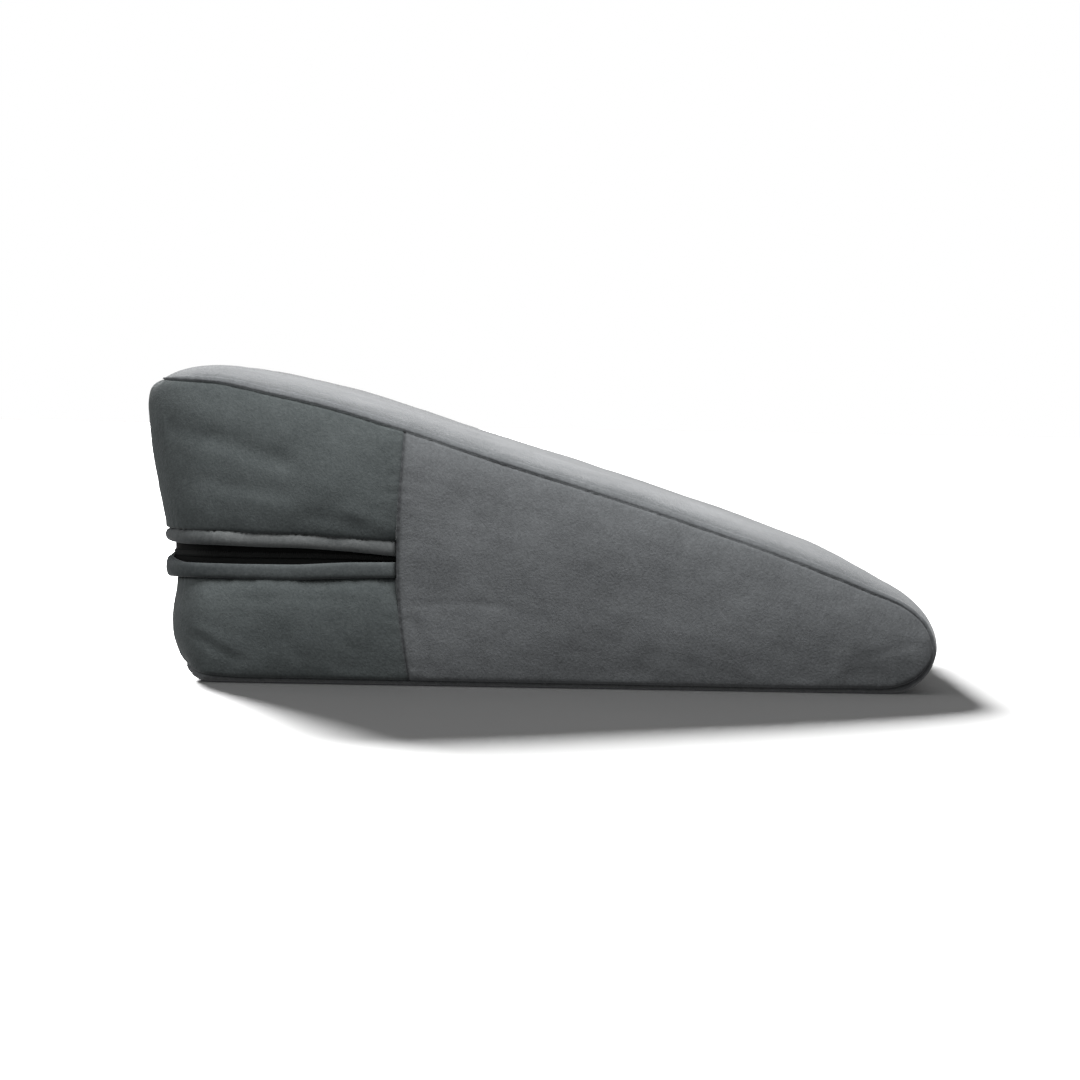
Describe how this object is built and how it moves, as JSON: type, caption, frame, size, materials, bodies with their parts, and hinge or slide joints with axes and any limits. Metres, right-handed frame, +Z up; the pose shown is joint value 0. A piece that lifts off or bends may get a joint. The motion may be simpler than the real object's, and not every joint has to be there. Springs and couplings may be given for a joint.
{
  "type": "wedge pillow",
  "caption": "Foam wedge cushion in a sewn velour cover, sloping from a tall end with a zip between two rolled welts down to a thin rounded toe.",
  "frame": {"origin": "centre of the base, on the surface the wedge lies on", "axes": "+X towards the thin toe, with the tall end at -X; +Z up; -Y towards the side that the picture shows"},
  "size_m": [0.6209, 0.606, 0.2473],
  "materials": {
    "velour": "dark slate-grey velour with a short brushed nap",
    "welt_velour": "the same velour, folded into a soft roll",
    "zip_black": "black woven zip tape with a closed coil"
  },
  "bodies": {
    "root": {"cushion": "velour", "upper_welt": "welt_velour", "lower_welt": "welt_velour", "zip_tape": "zip_black"}
  },
  "joints": []
}
